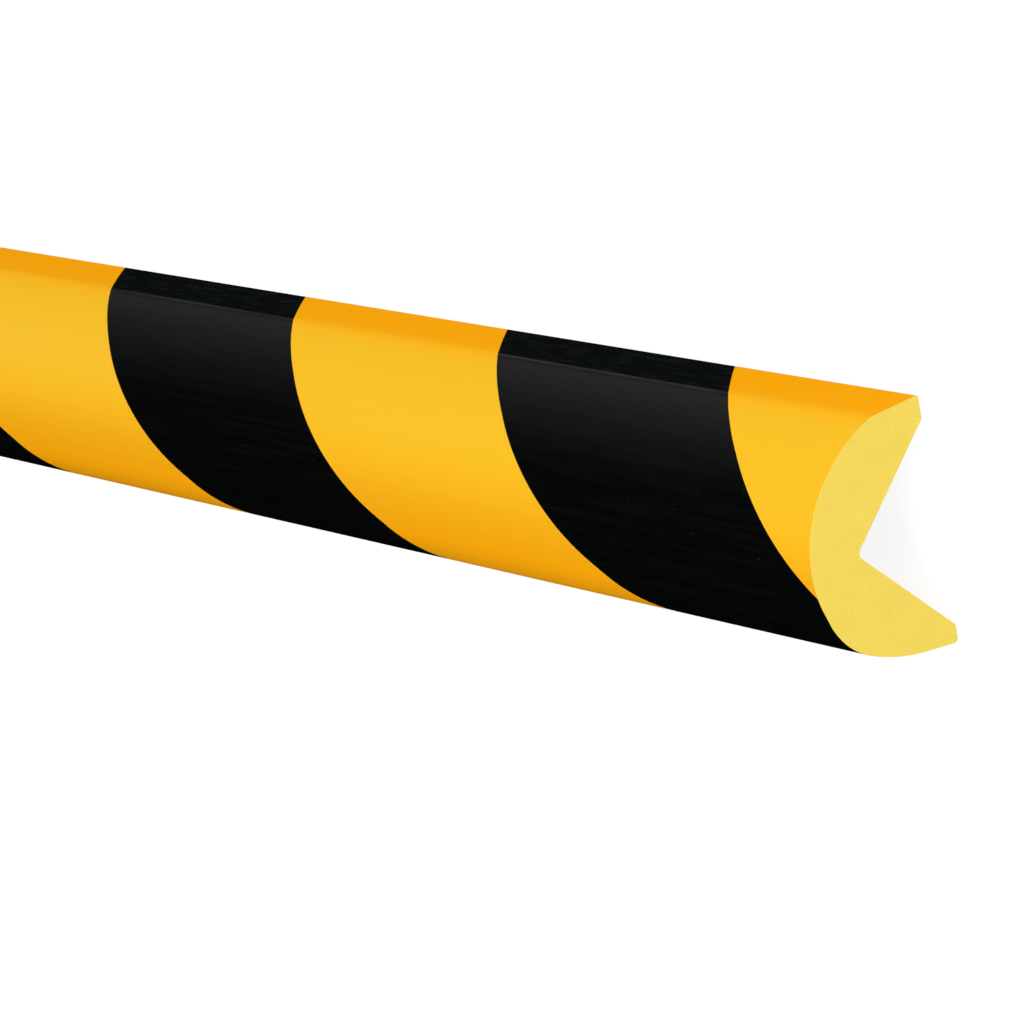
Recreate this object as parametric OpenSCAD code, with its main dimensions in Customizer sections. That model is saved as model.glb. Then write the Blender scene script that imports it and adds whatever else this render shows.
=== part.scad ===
// Foam edge protector: a domed profile with a right-angled notch that sits over a sharp edge.
// It lies along X on its two lip ends, notch down, with its crown up.
// The origin is on the ground, midway along the length and midway between the lips.

/* [Profile] */
// Length that the profile is cut to
length = 1000; // [250:10:2000]
// Width across the two lips, where they meet the ground
profile_w = 40; // [36:0.5:46]
// Height from the lip ends to the top of the crown
profile_h = 26; // [23:0.5:34]
// How much smaller the crown's radius is than half the width
crown_step = 1.2; // [0.8:0.1:3]
// How far each side's crease stands in from the outer corner of its lip
crease_in = 0.5; // [0.1:0.1:0.7]
// Height of the crease above the lip ends
crease_h = 7.5; // [5:0.5:10]

/* [Notch] */
// Angle between the two faces that sit on the protected edge
notch_angle = 90; // [80:1:100]
// Thickness of each lip at its end
lip_t = 3.3; // [2.6:0.1:6]
// Fillet at the root of the notch
root_r = 1.2; // [0.4:0.1:3]
// Rounding of each lip's outer corner
lip_r = 1; // [0.3:0.1:1.2]

/* [Skin] */
// Thickness of the coloured skin over the foam
skin_t = 0.2; // [0.1:0.05:0.8]
// Bare foam between a lip's end and the skin
skin_edge = 1.4; // [1.3:0.1:3]

/* [Stripes] */
// Length of one colour along the profile
stripe_l = 60; // [30:1:150]
// Slant of the stripes against a line square to the length
stripe_angle = 47; // [20:1:60]
// Yellow between the +X end and the first black stripe, along the +Y lip
first_stripe = 43.5; // [0:0.5:60]

/* [Hidden] */

$fn = 96;
foam_colour = [0.94, 0.84, 0.38];
yellow_colour = [0.98, 0.73, 0.10];
black_colour = [0.05, 0.05, 0.05];

crown_r = profile_w / 2 - crown_step;
crown_z = profile_h - crown_r;
crease_y = profile_w / 2 - crease_in;
notch_half_w = profile_w / 2 - lip_t;
notch_apex_z = notch_half_w / tan(notch_angle / 2);
// Cuts that have to clear a face reach this far past it
over = 1;

// A stripe's edge climbs round the crown's axis, and runs this far along X for each degree
slant_per_deg = crown_r * tan(stripe_angle) * PI / 180;
// Angle from straight up to the end of the +Y lip, where first_stripe is measured
lip_angle = atan2(profile_w / 2, -crown_z);
// The bands start and stop just past the lips, and cut right through the skin
band_half_turn = lip_angle + 4;
band_steps = 24;
band_inner_r = crown_r - skin_t - over / 2;
band_outer_r = norm([profile_w / 2, crown_z]) + over / 2;
band_reach = slant_per_deg * (lip_angle + band_half_turn);
band_count = ceil((length - first_stripe + band_reach) / (2 * stripe_l));

// Where the side's tangent leaves the crown, for a crown and a crease that are both drawn in by inset
function tangent_angle(inset) =
    let(y = crease_y - inset, z = crease_h - crown_z)
    atan2(y, z) - acos((crown_r - inset) / norm([y, z]));

function tangent_point(inset) =
    let(a = tangent_angle(inset), r = crown_r - inset)
    [r * sin(a), crown_z + r * cos(a)];

// Half the width of the straight side, or of its line carried on up, at height z
function side_y(inset, z) =
    let(t = tangent_point(inset))
    t.x + (crease_y - inset - t.x) * (t.y - z) / (t.y - crease_h);

function mirrored(points) = concat(points, [for (i = [len(points) - 1:-1:0]) [-points[i].x, points[i].y]]);

// Crown, sides and lips as one closed outline, Y to the right and Z up, drawn in by inset
module outline(inset = 0) {
    top_z = profile_h + over;
    lip_y = profile_w / 2 - inset;
    difference() {
        polygon(mirrored([
            [side_y(inset, top_z), top_z],
            [crease_y - inset, crease_h],
            [lip_y, lip_r],
            [lip_y, 0]
        ]));
        difference() {
            translate([-profile_w, tangent_point(inset).y]) square([2 * profile_w, profile_h]);
            translate([0, crown_z]) circle(crown_r - inset);
        }
    }
}

// The corner that a lip's rounding takes off, outside a quarter circle
module lip_corner_cut() {
    difference() {
        translate([profile_w / 2 - lip_r, -over]) square([lip_r + over, lip_r + over]);
        translate([profile_w / 2 - lip_r, lip_r]) circle(lip_r);
    }
}

// The open notch, with its root rounded off
module notch_outline() {
    half = notch_angle / 2;
    root_z = notch_apex_z - root_r / sin(half);
    touch = [root_r * cos(half), root_z + root_r * sin(half)];
    mouth = [notch_half_w + over * tan(half), -over];
    polygon(mirrored([touch, mouth]));
    translate([0, root_z]) circle(root_r);
}

// Runs a section along the whole length, with its X across and its Y up
module along_length() {
    translate([-length / 2, 0, 0]) rotate([90, 0, 90]) linear_extrude(length) children();
}

// The skin lies in the outer face of the profile, and its edges stay clear of the lip ends
module skin_outline() {
    difference() {
        outline();
        outline(skin_t);
        translate([-profile_w, -over]) square([2 * profile_w, over + skin_edge]);
    }
}

// One slanted band round the crown's axis; its first edge meets the +Y lip at x
module stripe_band(x) {
    rings = [
        for (i = [0:band_steps])
            let(a = band_half_turn * (1 - 2 * i / band_steps), start = x + slant_per_deg * (lip_angle - a))
            for (corner = [
                [start, band_inner_r],
                [start, band_outer_r],
                [start + stripe_l, band_outer_r],
                [start + stripe_l, band_inner_r]
            ])
            [corner[0], corner[1] * sin(a), crown_z + corner[1] * cos(a)]
    ];
    sides = [
        for (i = [0:band_steps - 1], j = [0:3])
            let(a = 4 * i + j, b = 4 * i + (j + 1) % 4)
            for (triangle = [[a, b, b + 4], [a, b + 4, a + 4]])
            triangle
    ];
    ends = [[3, 2, 1, 0], [for (j = [0:3]) 4 * band_steps + j]];
    polyhedron(rings, concat(sides, ends), convexity = 4);
}

module black_bands() {
    for (i = [0:band_count - 1]) stripe_band(length / 2 - first_stripe - stripe_l * (2 * i + 1));
}

// The moulded foam, up to the underside of its skin
module foam_body() {
    color(foam_colour)
    along_length()
    difference() {
        outline();
        skin_outline();
        notch_outline();
        lip_corner_cut();
        mirror([1, 0]) lip_corner_cut();
    }
}

// The yellow skin between the stripes
module yellow_coat() {
    color(yellow_colour)
    difference() {
        along_length() skin_outline();
        black_bands();
    }
}

// The black stripes, flush with the yellow and as thick
module black_stripes() {
    color(black_colour)
    intersection() {
        along_length() skin_outline();
        black_bands();
    }
}

foam_body();
yellow_coat();
black_stripes();
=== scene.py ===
"""Dresses a foam edge protector: a domed foam profile with a striped yellow and black skin.

Lengths are in metres and angles in radians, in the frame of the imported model: X runs along the
profile, Y across it and Z up, with the ground at zero.
"""
import math

import bpy
from mathutils import Matrix, Vector


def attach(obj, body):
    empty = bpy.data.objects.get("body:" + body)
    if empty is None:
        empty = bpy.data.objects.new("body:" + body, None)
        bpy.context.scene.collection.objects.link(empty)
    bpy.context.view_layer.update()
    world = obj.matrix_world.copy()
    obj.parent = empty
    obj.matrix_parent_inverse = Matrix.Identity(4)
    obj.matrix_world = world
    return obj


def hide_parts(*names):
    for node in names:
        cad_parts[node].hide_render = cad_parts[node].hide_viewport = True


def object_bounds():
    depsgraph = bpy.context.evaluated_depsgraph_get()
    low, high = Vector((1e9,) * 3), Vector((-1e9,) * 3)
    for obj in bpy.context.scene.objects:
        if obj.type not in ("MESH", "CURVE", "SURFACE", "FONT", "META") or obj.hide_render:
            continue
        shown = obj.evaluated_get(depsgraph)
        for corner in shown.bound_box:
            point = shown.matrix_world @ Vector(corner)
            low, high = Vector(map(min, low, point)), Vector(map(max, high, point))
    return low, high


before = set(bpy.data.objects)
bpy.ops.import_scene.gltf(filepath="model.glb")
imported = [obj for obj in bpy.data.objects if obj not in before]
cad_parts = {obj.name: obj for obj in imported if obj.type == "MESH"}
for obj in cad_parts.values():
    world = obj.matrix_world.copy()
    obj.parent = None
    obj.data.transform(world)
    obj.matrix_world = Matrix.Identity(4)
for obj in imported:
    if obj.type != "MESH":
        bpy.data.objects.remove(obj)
cad_low, cad_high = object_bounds()


# The foam: one soft polyurethane moulding with a domed back and a right-angled notch that sits
# on the protected edge. It is poured in a long mould and sawn to length, so its two ends show
# the bare, finely pored inside, while the notch and the lip ends keep the mould's closed face.
MM = 0.001
length = cad_high.x - cad_low.x
half_w = cad_high.y
profile_h = cad_high.z
# The crown's radius is this much smaller than half the width
crown_step = 1.2 * MM
crown_r = half_w - crown_step
crown_z = profile_h - crown_r
# The moulding is a little uneven: its crown and its notch lie off centre towards -Y, where the
# shoulder is full and the crease so soft that it hardly shows. Along the +Y side a flatter
# shoulder ends in a crisp crease, and the lip ends a little short. Each shoulder and each crease
# is given as its place across and up, and its radius.
crown_off = -0.4 * MM
notch_off = -0.33 * MM
crisp_crease = (half_w - 0.5 * MM, 9.75 * MM, 5 * MM)
flat_shoulder = (half_w - 2.35 * MM, 15.4 * MM, 23 * MM)
full_shoulder = (5.8 * MM - half_w, 22.1 * MM, 13.5 * MM)
soft_crease = (1.2 * MM - half_w, 11.7 * MM, 35 * MM)
crisp_lip_r = 0.3 * MM
crisp_lip_z = 0.35 * MM
soft_lip_r = 0.8 * MM
lip_t = 3.15 * MM
# A right-angled notch is as high as half its mouth is wide
notch_z = half_w - lip_t
root_r = 1.1 * MM
skin_t = 0.2 * MM
skin_taper = 0.6 * MM
cut_rim = 0.12 * MM
# The saw leaves a fine relief on the cut faces
relief_depth = 0.06 * MM
relief_size = 2 * MM
relief_seed = 3.0
section_columns = 300
section_rows = 24
arc_step = math.radians(1)
sharp_angle = math.radians(30)
# Points that lie closer than this are one point
same_place = 0.001 * MM


def rounded_path(corners):
    """Points along the lines between (y, z, radius) corners, with each inner corner rounded off."""
    path = [Vector(corners[0][:2])]
    for before, corner, after in zip(corners, corners[1:], corners[2:]):
        tip = Vector(corner[:2])
        back = (Vector(before[:2]) - tip).normalized()
        on = (Vector(after[:2]) - tip).normalized()
        half = back.angle(on) / 2
        radius = corner[2]
        centre = tip + (back + on).normalized() * (radius / math.sin(half))
        spoke = tip + back * (radius / math.tan(half)) - centre
        turn = math.copysign(math.pi - 2 * half, on.cross(back))
        steps = max(1, math.ceil(abs(turn) / arc_step))
        for i in range(steps + 1):
            path.append(centre + Matrix.Rotation(turn * i / steps, 2) @ spoke)
    return path + [Vector(corners[-1][:2])]


def evenly_spaced(path, count):
    """The path again as count + 1 points at even distances along it."""
    legs = [(a, b, (b - a).length) for a, b in zip(path, path[1:]) if (b - a).length > same_place]
    spacing = sum(reach for a, b, reach in legs) / count
    points = [path[0]]
    passed = 0.0
    for a, b, reach in legs:
        while len(points) < count and len(points) * spacing <= passed + reach:
            points.append(a.lerp(b, (len(points) * spacing - passed) / reach))
        passed += reach
    return points + [path[-1]]


def side_slope(across, up):
    """How far the side's outward direction turns from up, where the side runs tangent from the
    crown to a shoulder that lies so far across and above the crown's axis."""
    return math.atan2(across, up) - math.acos(crown_r / math.hypot(across, up))


# As each side runs tangent from the crown to its shoulder, the crown is the rounding of their peak
flat_slope = side_slope(flat_shoulder[0] - crown_off, flat_shoulder[1] - crown_z)
full_slope = side_slope(crown_off - full_shoulder[0], full_shoulder[1] - crown_z)
peak_sine = math.sin(flat_slope + full_slope)
peak_y = crown_r * (math.cos(full_slope) - math.cos(flat_slope)) / peak_sine
peak_z = crown_r * (math.sin(flat_slope) + math.sin(full_slope)) / peak_sine
back_corners = [
    (half_w - 2 * crisp_lip_r, crisp_lip_z, 0),
    (half_w, crisp_lip_z, crisp_lip_r),
    crisp_crease,
    flat_shoulder,
    (crown_off + peak_y, crown_z + peak_z, crown_r),
    full_shoulder,
    soft_crease,
    (-half_w, 0, soft_lip_r),
    (-half_w + 2 * soft_lip_r, 0, 0),
]
notch_corners = [
    (notch_z + notch_off - crisp_lip_z, crisp_lip_z, 0),
    (notch_off, notch_z, root_r),
    (-notch_z + notch_off, 0, 0),
]
back = evenly_spaced(rounded_path(back_corners), section_columns)
notch = evenly_spaced(rounded_path(notch_corners), section_columns)


def skin_insets(points):
    """How far the foam lies under the skin at each point of the back, tapering out at its edges."""
    spacing = (points[1] - points[0]).length
    insets = []
    for i in range(len(points)):
        ahead = points[min(i + 1, len(points) - 1)] - points[max(i - 1, 0)]
        edge = min(i, len(points) - 1 - i) * spacing
        depth = skin_t * min(1, edge / skin_taper)
        insets.append(Vector((-ahead.y, ahead.x)).normalized() * depth)
    return insets


def new_piece(name, points, edges, faces, insets):
    """A mesh object in the YZ plane that carries each point's inset under the skin."""
    mesh = bpy.data.meshes.new(name)
    mesh.from_pydata([(0, p.x, p.y) for p in points], edges, faces)
    attribute = mesh.attributes.new("inset", "FLOAT_VECTOR", "POINT")
    for item, inset in zip(attribute.data, insets):
        item.vector = (0, inset.x, inset.y)
    piece = bpy.data.objects.new(name, mesh)
    bpy.context.scene.collection.objects.link(piece)
    return piece


def add_node(tree, kind, inputs=(), **settings):
    """A new node with its settings, and with its inputs linked or set, by name or number."""
    node = tree.nodes.new(kind)
    for name, value in settings.items():
        setattr(node, name, value)
    for key, value in dict(inputs).items():
        if isinstance(value, bpy.types.NodeSocket):
            tree.links.new(value, node.inputs[key])
        else:
            node.inputs[key].default_value = value
    return node


def calculate(tree, operation, *values):
    """The output of a Math node."""
    return add_node(tree, "ShaderNodeMath", enumerate(values), operation=operation).outputs[0]


def along_x(tree, distance):
    """A vector of that length along the profile."""
    return add_node(tree, "ShaderNodeCombineXYZ", {"X": distance}).outputs[0]


def merged(tree, geometry):
    """The geometry with the points that lie in the same place made one."""
    return add_node(tree, "GeometryNodeMergeByDistance", {
        "Geometry": geometry, "Distance": same_place}).outputs[0]


def new_tree(name, inputs):
    """A geometry tree with named inputs; returns it with its input node."""
    tree = bpy.data.node_groups.new(name, "GeometryNodeTree")
    tree.interface.new_socket("Geometry", in_out="OUTPUT", socket_type="NodeSocketGeometry")
    tree.interface.new_socket("Geometry", in_out="INPUT", socket_type="NodeSocketGeometry")
    for label, kind in inputs:
        tree.interface.new_socket(label, in_out="INPUT", socket_type="NodeSocket" + kind)
    return tree, tree.nodes.new("NodeGroupInput")


def end_tree(tree, geometry, material):
    """Shades the result smooth between its sharp edges, realizes it and gives it its material."""
    angle = add_node(tree, "GeometryNodeInputMeshEdgeAngle").outputs["Unsigned Angle"]
    sharp = calculate(tree, "GREATER_THAN", angle, sharp_angle)
    smooth = add_node(tree, "GeometryNodeSetShadeSmooth", {"Geometry": geometry}).outputs[0]
    creased = add_node(tree, "GeometryNodeSetShadeSmooth", {
        "Geometry": smooth, "Selection": sharp, "Shade Smooth": False}, domain="EDGE").outputs[0]
    real = add_node(tree, "GeometryNodeRealizeInstances", {"Geometry": creased}).outputs[0]
    coated = add_node(tree, "GeometryNodeSetMaterial", {"Geometry": real, "Material": material})
    add_node(tree, "NodeGroupOutput", {"Geometry": coated.outputs[0]})


def run_tree(piece, tree, values):
    """Runs the tree on the piece with these inputs, and keeps the result as a plain mesh."""
    modifier = piece.modifiers.new(tree.name, "NODES")
    modifier.node_group = tree
    for item in tree.interface.items_tree:
        if item.in_out == "INPUT" and item.name in values:
            modifier[item.identifier] = values[item.name]
    evaluated = piece.evaluated_get(bpy.context.evaluated_depsgraph_get())
    mesh = bpy.data.meshes.new_from_object(evaluated)
    piece.modifiers.clear()
    piece.data = mesh
    return piece


def step_faces(tree, mesh, top, distance):
    """Extrudes the top faces along X by a distance; returns the mesh and its new top."""
    extruded = add_node(tree, "GeometryNodeExtrudeMesh", {
        "Mesh": mesh, "Offset": along_x(tree, distance), "Individual": False}, mode="FACES")
    if top:
        tree.links.new(top, extruded.inputs["Selection"])
    return extruded.outputs["Mesh"], extruded.outputs["Top"]


def inset_faces(tree, mesh, top, share):
    """Ends a step with the top drawn in, or let out again, by a share of the skin's inset."""
    mesh, top = step_faces(tree, mesh, top, 0)
    inset = add_node(tree, "GeometryNodeInputNamedAttribute", {"Name": "inset"},
                     data_type="FLOAT_VECTOR").outputs[0]
    offset = add_node(tree, "ShaderNodeVectorMath", {0: inset, "Scale": share},
                      operation="SCALE").outputs[0]
    moved = add_node(tree, "GeometryNodeSetPosition", {
        "Geometry": mesh, "Selection": top, "Offset": offset}).outputs[0]
    return moved, top


def foam_tree():
    """Runs the section along the whole length, under the skin but for a bare rim at each cut."""
    tree, given = new_tree("Foam length", [
        ("Length", "Float"), ("Cut Rim", "Float"), ("Relief Depth", "Float"),
        ("Relief Grain", "Float"), ("Seed", "Float"), ("Foam", "Material")])
    length_in = given.outputs["Length"]
    rim = given.outputs["Cut Rim"]
    half_length = calculate(tree, "DIVIDE", length_in, 2)
    start = add_node(tree, "GeometryNodeSetPosition", {
        "Geometry": given.outputs["Geometry"],
        "Offset": along_x(tree, calculate(tree, "MULTIPLY", half_length, -1))}).outputs[0]
    covered = calculate(tree, "SUBTRACT", length_in, calculate(tree, "MULTIPLY", rim, 2))
    mesh, top = step_faces(tree, start, None, rim)
    mesh, top = inset_faces(tree, mesh, top, 1)
    mesh, top = step_faces(tree, mesh, top, covered)
    mesh, top = inset_faces(tree, mesh, top, -1)
    mesh, top = step_faces(tree, mesh, top, rim)
    far_face = add_node(tree, "GeometryNodeFlipFaces", {"Mesh": start}).outputs[0]
    joined = add_node(tree, "GeometryNodeJoinGeometry", {"Geometry": mesh})
    tree.links.new(far_face, joined.inputs["Geometry"])
    closed = merged(tree, joined.outputs[0])

    position = add_node(tree, "GeometryNodeInputPosition").outputs[0]
    x = add_node(tree, "ShaderNodeSeparateXYZ", {0: position}).outputs["X"]
    on_cut = calculate(tree, "GREATER_THAN", calculate(tree, "ABSOLUTE", x),
                       calculate(tree, "SUBTRACT", half_length, calculate(tree, "DIVIDE", rim, 2)))
    noise = add_node(tree, "ShaderNodeTexNoise", {
        "Vector": position, "W": given.outputs["Seed"], "Scale": given.outputs["Relief Grain"],
        "Detail": 3, "Roughness": 0.6}, noise_dimensions="4D").outputs[0]
    inward = calculate(tree, "MULTIPLY", calculate(tree, "SIGN", x), -1)
    depth = calculate(tree, "MULTIPLY", noise, given.outputs["Relief Depth"])
    rough = add_node(tree, "GeometryNodeSetPosition", {
        "Geometry": closed, "Selection": on_cut,
        "Offset": along_x(tree, calculate(tree, "MULTIPLY", inward, depth))}).outputs[0]
    end_tree(tree, rough, given.outputs["Foam"])
    return tree


def new_material(name, roughness, specular):
    """A plain shader to build on; returns the material, its tree and the shader node."""
    material = bpy.data.materials.new(name)
    material.use_nodes = True
    shader = material.node_tree.nodes["Principled BSDF"]
    shader.inputs["Roughness"].default_value = roughness
    shader.inputs["Specular IOR Level"].default_value = specular
    return material, material.node_tree, shader


def object_place(tree):
    """A point's place in the piece's own coordinates."""
    return add_node(tree, "ShaderNodeTexCoord").outputs["Object"]


def object_noise(tree, size, stretch=(1, 1, 1), detail=3):
    """Noise with a grain of that size, in the piece's own coordinates."""
    scaled = add_node(tree, "ShaderNodeMapping", {
        "Vector": object_place(tree), "Scale": [s / size for s in stretch]}).outputs[0]
    return add_node(tree, "ShaderNodeTexNoise", {
        "Vector": scaled, "Scale": 1, "Detail": detail}).outputs[0]


def object_cells(tree, size):
    """The distance to the middle of the nearest random cell, as a share of the cells' size."""
    return add_node(tree, "ShaderNodeTexVoronoi", {
        "Vector": object_place(tree), "Scale": 1 / size}).outputs["Distance"]


def ranged(tree, value, low, high, out_low=0.0, out_high=1.0):
    """The value, moved from one range to another and clamped to it."""
    return add_node(tree, "ShaderNodeMapRange", {
        "Value": value, "From Min": low, "From Max": high,
        "To Min": out_low, "To Max": out_high}).outputs[0]


def mixed(tree, share, a, b, blend="MIX"):
    """Two colours mixed by a share."""
    node = add_node(tree, "ShaderNodeMix", data_type="RGBA", blend_type=blend)
    for key, value in ((0, share), (6, a), (7, b)):
        if isinstance(value, bpy.types.NodeSocket):
            tree.links.new(value, node.inputs[key])
        else:
            node.inputs[key].default_value = value
    return node.outputs[2]


def foam_material():
    """Matt pale yellow foam: a little cloudy and, where it is sawn, grainy with fine pores."""
    cloudy_yellow = (0.89, 0.67, 0.105, 1)
    clear_yellow = (0.925, 0.695, 0.115, 1)
    pore_yellow = (0.7, 0.5, 0.06, 1)
    material, tree, shader = new_material("foam pale yellow", roughness=0.9, specular=0.15)
    cloud = ranged(tree, object_noise(tree, 4 * MM), 0.3, 0.7)
    colour = mixed(tree, cloud, cloudy_yellow, clear_yellow)
    fine_grain = object_noise(tree, 0.4 * MM, detail=2)
    cells = ranged(tree, fine_grain, 0.35, 0.65, out_low=0.975, out_high=1.02)
    colour = mixed(tree, 1.0, colour, cells, blend="MULTIPLY")
    x = add_node(tree, "ShaderNodeSeparateXYZ", {0: object_place(tree)}).outputs["X"]
    sawn = calculate(tree, "GREATER_THAN", calculate(tree, "ABSOLUTE", x), length / 2 - cut_rim)
    pores = ranged(tree, object_cells(tree, 0.6 * MM), 0.2, 0.08)
    pit = calculate(tree, "MULTIPLY", pores, sawn)
    colour = mixed(tree, calculate(tree, "MULTIPLY", pit, 0.2), colour, pore_yellow)
    grain = calculate(tree, "SUBTRACT", object_noise(tree, 0.8 * MM), pit)
    bump = add_node(tree, "ShaderNodeBump", {
        "Height": grain, "Strength": 0.15, "Distance": 0.05 * MM})
    tree.links.new(colour, shader.inputs["Base Color"])
    tree.links.new(bump.outputs[0], shader.inputs["Normal"])
    return material


rows = [[b.lerp(n, j / section_rows) for b, n in zip(back, notch)] for j in range(section_rows + 1)]
columns = section_columns + 1
section_faces = [
    (j * columns + i, j * columns + i + 1, (j + 1) * columns + i + 1, (j + 1) * columns + i)
    for j in range(section_rows) for i in range(section_columns)]
back_insets = skin_insets(back)
section_insets = back_insets + [Vector((0, 0))] * (columns * section_rows)
foam = new_piece("foam", sum(rows, []), [], section_faces, section_insets)
run_tree(foam, foam_tree(), {
    "Length": length, "Cut Rim": cut_rim, "Relief Depth": relief_depth,
    "Relief Grain": 1 / relief_size, "Seed": relief_seed, "Foam": foam_material()})
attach(foam, "root")
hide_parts("foam_body")


# The skin: a thin coat of satin polyurethane over the whole back, moulded on with the foam and
# masked into slanted fields of yellow and black. It wraps the back from lip end to lip end, and
# the saw wears it off in a hairline of bare foam at each cut. These are its yellow fields.
stripe_l = 60 * MM
pitch = 2 * stripe_l
first_stripe = 43.5 * MM
stripe_angle = math.radians(47)
# A turn runs from straight up towards +Y, round a line at mid width and as high as the crown's centre
lip_turn = math.atan2(half_w, -crown_z)
# How far a stripe's edge runs along the profile in one radian of turn
stripe_slant = crown_r * math.tan(stripe_angle)
stripe_count = math.ceil((length - first_stripe + 2 * lip_turn * stripe_slant) / pitch)


def stripe_tree():
    """Lays slanted fields of skin round the back, a pitch apart, and gives them their thickness."""
    tree, given = new_tree("Stripe fields", [
        ("Fields", "Int"), ("First Field", "Float"), ("Field Length", "Float"),
        ("Pitch", "Float"), ("Slant", "Float"), ("Lip Turn", "Float"),
        ("Crown Height", "Float"), ("Covered Length", "Float"), ("Skin", "Material")])
    position = add_node(tree, "GeometryNodeInputPosition").outputs[0]
    parts = add_node(tree, "ShaderNodeSeparateXYZ", {0: position}).outputs
    above = calculate(tree, "SUBTRACT", parts["Z"], given.outputs["Crown Height"])
    turn = calculate(tree, "ARCTAN2", parts["Y"], above)
    climb = calculate(tree, "SUBTRACT", given.outputs["Lip Turn"], turn)
    slant = along_x(tree, calculate(tree, "MULTIPLY", climb, given.outputs["Slant"]))
    slanted = add_node(tree, "GeometryNodeSetPosition", {
        "Geometry": given.outputs["Geometry"], "Offset": slant}).outputs[0]
    starts = add_node(tree, "GeometryNodeMeshLine", {
        "Count": given.outputs["Fields"],
        "Start Location": along_x(tree, given.outputs["First Field"]),
        "Offset": along_x(tree, calculate(tree, "MULTIPLY", given.outputs["Pitch"], -1))}).outputs[0]
    edges = add_node(tree, "GeometryNodeInstanceOnPoints", {
        "Points": starts, "Instance": slanted}).outputs[0]
    edges = add_node(tree, "GeometryNodeRealizeInstances", {"Geometry": edges}).outputs[0]
    field_step = along_x(tree, given.outputs["Field Length"])
    fields = add_node(tree, "GeometryNodeExtrudeMesh", {
        "Mesh": edges, "Offset": field_step}, mode="EDGES").outputs["Mesh"]
    limit = calculate(tree, "DIVIDE", given.outputs["Covered Length"], 2)
    sawn_x = calculate(tree, "MAXIMUM", calculate(tree, "MINIMUM", parts["X"], limit),
                       calculate(tree, "MULTIPLY", limit, -1))
    sawn_place = add_node(tree, "ShaderNodeCombineXYZ", {
        "X": sawn_x, "Y": parts["Y"], "Z": parts["Z"]}).outputs[0]
    sawn = merged(tree, add_node(tree, "GeometryNodeSetPosition", {
        "Geometry": fields, "Position": sawn_place}).outputs[0])
    around = add_node(tree, "GeometryNodeInputMeshVertexNeighbors").outputs["Face Count"]
    loose = calculate(tree, "LESS_THAN", around, 1)
    outside = add_node(tree, "GeometryNodeDeleteGeometry", {
        "Geometry": sawn, "Selection": loose}).outputs[0]
    flipped = add_node(tree, "GeometryNodeFlipFaces", {"Mesh": outside}).outputs[0]
    underside = inset_faces(tree, flipped, None, 1)[0]
    joined = add_node(tree, "GeometryNodeJoinGeometry", {"Geometry": outside})
    tree.links.new(underside, joined.inputs["Geometry"])
    end_tree(tree, merged(tree, joined.outputs[0]), given.outputs["Skin"])
    return tree


fields_tree = stripe_tree()


def skin_fields(name, first_field, count, material):
    """A piece made of the fields of one colour, from the +X end on."""
    edges = [(i + 1, i) for i in range(section_columns)]
    piece = new_piece(name, back, edges, [], back_insets)
    return run_tree(piece, fields_tree, {
        "Fields": count, "First Field": first_field, "Field Length": stripe_l, "Pitch": pitch,
        "Slant": stripe_slant, "Lip Turn": lip_turn, "Crown Height": crown_z,
        "Covered Length": length - 2 * cut_rim, "Skin": material})


def crown_turn(tree):
    """The turn at which a point of the skin lies."""
    parts = add_node(tree, "ShaderNodeSeparateXYZ", {0: object_place(tree)}).outputs
    return calculate(tree, "ARCTAN2", parts["Y"], calculate(tree, "SUBTRACT", parts["Z"], crown_z))


def skin_bump(tree, shader, strength):
    """Faint lines drawn along the mould, and the fine orange peel of the coat."""
    lines = object_noise(tree, 1.2 * MM, stretch=(0.03, 1, 1))
    peel = object_noise(tree, 0.5 * MM, detail=2)
    height = calculate(tree, "ADD", lines, calculate(tree, "MULTIPLY", peel, 0.35))
    bump = add_node(tree, "ShaderNodeBump", {
        "Height": height, "Strength": strength, "Distance": 0.03 * MM})
    tree.links.new(bump.outputs[0], shader.inputs["Normal"])


def yellow_material():
    """Signal yellow with painted light: a paler tone painted from the crown to above the crisp crease,
    where the light fell brightest, and the deep tone on the -Y side and both flanks, where shade fell.
    """
    deep_yellow = (0.98, 0.40, 0.001, 1)
    painted_lit_yellow = (0.83, 0.46, 0.016, 1)
    material, tree, shader = new_material("skin yellow", roughness=0.42, specular=0.25)
    turn = crown_turn(tree)
    # Painted light: the crown's lit side is painted paler. The -Y side and the flank below the crisp
    # crease keep the deeper tone, as painted shade.
    past_crown = ranged(tree, turn, math.radians(-30), math.radians(24))
    above_crease = ranged(tree, turn, math.radians(90), math.radians(72))
    pale = calculate(tree, "MULTIPLY", past_crown, above_crease)
    colour = mixed(tree, pale, deep_yellow, painted_lit_yellow)
    tree.links.new(colour, shader.inputs["Base Color"])
    skin_bump(tree, shader, 0.25)
    return material


yellow = skin_fields("yellow_fields", length / 2 - first_stripe, stripe_count + 1, yellow_material())
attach(yellow, "root")
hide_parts("yellow_coat")


# The black fields of the same skin. They lie flush with the yellow ones, edge to edge. On them the
# mould's fine lines show, with a painted sheen band above the crisp crease, a painted highlight line
# along it and a few specks of dust.
crisp_turn = math.atan2(crisp_crease[0], crisp_crease[1] - crown_z)
crease_edge = math.radians(0.5)


def painted_sheen_share(tree, turn):
    """How much painted sheen the black gets: a painted reflection that grows from the crown towards the
    crisp crease and is weaker just above the crease."""
    nearer = calculate(tree, "POWER", ranged(tree, turn, math.radians(20), math.radians(80)), 2)
    above_crease = ranged(tree, turn, crisp_turn + crease_edge, crisp_turn)
    sheen_dip = ranged(tree, turn, crisp_turn - math.radians(4.5), crisp_turn - math.radians(1.5),
                    out_low=1, out_high=0.6)
    return calculate(tree, "MULTIPLY", calculate(tree, "MULTIPLY", nearer, above_crease), sheen_dip)


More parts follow.
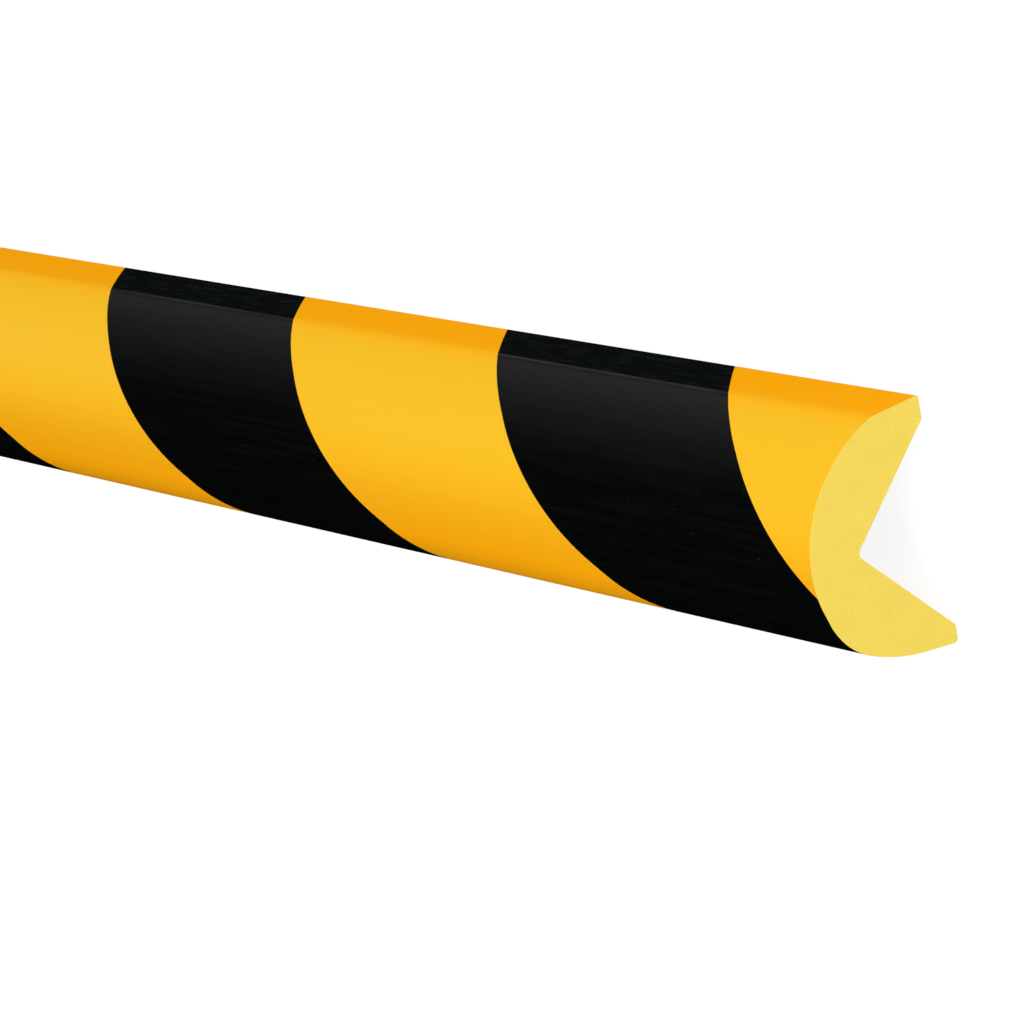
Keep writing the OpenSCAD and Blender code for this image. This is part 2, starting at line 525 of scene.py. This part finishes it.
def painted_highlight_line_share(tree, turn):
    """A thin painted highlight along the crisp crease, where the ridge catches the light, fainter here
    and there.
    """
    off_crease = calculate(tree, "ABSOLUTE", calculate(tree, "SUBTRACT", turn, crisp_turn))
    line = ranged(tree, off_crease, math.radians(1.8), math.radians(0.3))
    line_breaks = ranged(tree, object_noise(tree, 6 * MM, stretch=(0.2, 1, 1)), 0.35, 0.6)
    return calculate(tree, "MULTIPLY", line, line_breaks)


def flank_share(tree, turn):
    """The upright flanks: all below the crisp crease, and from the full shoulder on."""
    crisp_flank = ranged(tree, turn, crisp_turn, crisp_turn + crease_edge)
    soft_flank = ranged(tree, turn, math.radians(-62), math.radians(-90))
    return calculate(tree, "MAXIMUM", crisp_flank, soft_flank)


def black_material():
    """Deep satin black, streaked along the profile. It has a painted sheen band and a painted highlight
    line at the crisp crease, flanks painted a touch lighter, and sparse pale specks.
    """
    deep_black = (0.0014, 0.0019, 0.0019, 1)
    streak_black = (0.003, 0.0037, 0.0036, 1)
    painted_sheen_grey = (0.0195, 0.0195, 0.0185, 1)
    painted_crease_highlight = (0.034, 0.036, 0.034, 1)
    flank_black = (0.0036, 0.0043, 0.0044, 1)
    dash_grey = (0.010, 0.014, 0.016, 1)
    dust_grey = (0.05, 0.055, 0.06, 1)
    material, tree, shader = new_material("skin black", roughness=0.5, specular=0.1)
    turn = crown_turn(tree)
    streaks = ranged(tree, object_noise(tree, 0.9 * MM, stretch=(0.04, 1, 1)), 0.45, 0.75)
    colour = mixed(tree, streaks, deep_black, streak_black)
    # Painted sheen: a grey band painted where the flat side would reflect the light, rising towards the
    # crisp crease.
    colour = mixed(tree, painted_sheen_share(tree, turn), colour, painted_sheen_grey)
    # Painted highlight: a thin pale line where the crisp crease catches the light.
    colour = mixed(tree, painted_highlight_line_share(tree, turn), colour, painted_crease_highlight)
    dashes = ranged(tree, object_noise(tree, 0.7 * MM, stretch=(0.12, 1, 1)), 0.5, 0.8)
    # The flanks are painted a touch lighter than the crown's black, as a faint painted sheen, and are
    # streaked with faint bluish dashes.
    flanks = mixed(tree, dashes, flank_black, dash_grey)
    colour = mixed(tree, flank_share(tree, turn), colour, flanks)
    specks = ranged(tree, object_cells(tree, 2.6 * MM), 0.055, 0.025, out_low=0.0, out_high=0.5)
    colour = mixed(tree, specks, colour, dust_grey)
    tree.links.new(colour, shader.inputs["Base Color"])
    skin_bump(tree, shader, 0.3)
    return material


black = skin_fields("black_fields", length / 2 - first_stripe - stripe_l, stripe_count, black_material())
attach(black, "root")
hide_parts("black_stripes")


# The studio: a white sweep that keeps the profile's soft shadow, and large soft lamps. On the side
# of the sawn end hang two above the crown, one low along the +Y side and one opposite, and one
# stands behind. Only the first, a weak one, shows as gloss.
lamp_aim = Vector((0.35, 0, 0.012))
lamp_lean = 0.48
lamp_distance = 3.2


def white_to_the_camera(tree, plain, white):
    """Shows the camera one shader and every other ray another."""
    ray = add_node(tree, "ShaderNodeLightPath").outputs["Is Camera Ray"]
    return add_node(tree, "ShaderNodeMixShader", {0: ray, 1: plain, 2: white}).outputs[0]


def studio_floor():
    """A wide grey floor that the camera sees as white, but for the shadow. Past the lamps' reach
    it glows a little more, so that no edge shows against the white world."""
    span = 4
    lit_reach = 0.8
    dark_reach = 1.6
    mesh = bpy.data.meshes.new("floor")
    corners = [(-span, -span, 0), (span, -span, 0), (span, span, 0), (-span, span, 0)]
    mesh.from_pydata(corners, [], [(0, 1, 2, 3)])
    floor = bpy.data.objects.new("floor", mesh)
    bpy.context.scene.collection.objects.link(floor)
    material, tree, shader = new_material("white sweep", roughness=0.9, specular=0.0)
    shader.inputs["Base Color"].default_value = (0.2, 0.2, 0.2, 1)
    paper = add_node(tree, "ShaderNodeBsdfDiffuse", {"Color": (0.16, 0.16, 0.16, 1)}).outputs[0]
    away = add_node(tree, "ShaderNodeVectorMath", {0: object_place(tree)},
                    operation="LENGTH").outputs["Value"]
    strength = ranged(tree, away, lit_reach, dark_reach, out_low=0.9, out_high=1)
    glow = add_node(tree, "ShaderNodeEmission", {"Strength": strength}).outputs[0]
    lit = add_node(tree, "ShaderNodeAddShader", {0: paper, 1: glow}).outputs[0]
    seen = white_to_the_camera(tree, shader.outputs[0], lit)
    tree.links.new(seen, tree.nodes["Material Output"].inputs[0])
    mesh.materials.append(material)
    floor.visible_glossy = False


def studio_world():
    """White where the camera sees it, and a dim even fill for the object."""
    world = bpy.data.worlds.new("studio")
    bpy.context.scene.world = world
    world.use_nodes = True
    world.cycles_visibility.glossy = False
    tree = world.node_tree
    fill = tree.nodes["Background"]
    fill.inputs["Color"].default_value = (1, 1, 1, 1)
    fill.inputs["Strength"].default_value = 0.1
    white = add_node(tree, "ShaderNodeBackground", {
        "Color": (1, 1, 1, 1), "Strength": 1}).outputs[0]
    output = tree.nodes["World Output"]
    tree.links.new(white_to_the_camera(tree, fill.outputs[0], white), output.inputs[0])


def soft_lamp(name, turn, along, distance, level, size, glossy=True):
    """A lamp round the profile by that turn from the crown and leaning along X, at a level of
    light where 1 shows a facing surface in its own colour. Its size is its width and height."""
    across = math.sqrt(1 - along * along)
    towards = Vector((along, across * math.sin(turn), across * math.cos(turn)))
    lamp = bpy.data.lights.new(name, "AREA")
    lamp.shape = "RECTANGLE"
    lamp.size, lamp.size_y = size
    lamp.energy = level * (math.pi * distance) ** 2
    holder = bpy.data.objects.new(name, lamp)
    holder.location = lamp_aim + towards * distance
    holder.rotation_euler = (-towards).to_track_quat("-Z", "Y").to_euler()
    holder.visible_glossy = glossy
    bpy.context.scene.collection.objects.link(holder)


studio_floor()
studio_world()
soft_lamp("lamp_over", math.radians(25), lamp_lean, lamp_distance, 0.12, (2.2, 2.2))
soft_lamp("lamp_key", math.radians(35), lamp_lean, lamp_distance, 0.56, (1.9, 1.9), glossy=False)
soft_lamp("lamp_side", math.radians(84), lamp_lean, lamp_distance, 0.62, (2.6, 0.5), glossy=False)
soft_lamp("lamp_opposite", math.radians(-45), lamp_lean, lamp_distance, 0.73, (1.9, 1.9), glossy=False)
soft_lamp("lamp_behind", math.radians(60), -0.97, 2.6, 0.7, (1.2, 1.2), glossy=False)


# The camera: a long lens from above the sawn end, turned so that the profile runs up to the left
# with its notch to the right, and with its far part out of the picture.
camera_place = Vector((1.030, 0.2177, 0.4419))
camera_aim = Vector((0.4166, -0.0036, 0.020))
camera_roll = math.radians(-111.6)
camera_data = bpy.data.cameras.new("camera")
camera_data.lens = 166.5
camera_data.sensor_width = 36
camera = bpy.data.objects.new("camera", camera_data)
bpy.context.scene.collection.objects.link(camera)
level_view = (camera_aim - camera_place).to_track_quat("-Z", "Y").to_matrix()
camera.rotation_euler = (level_view @ Matrix.Rotation(camera_roll, 3, "Z")).to_euler()
camera.location = camera_place
bpy.context.scene.camera = camera
bpy.context.scene.view_settings.view_transform = "Standard"

bpy.context.view_layer.update()
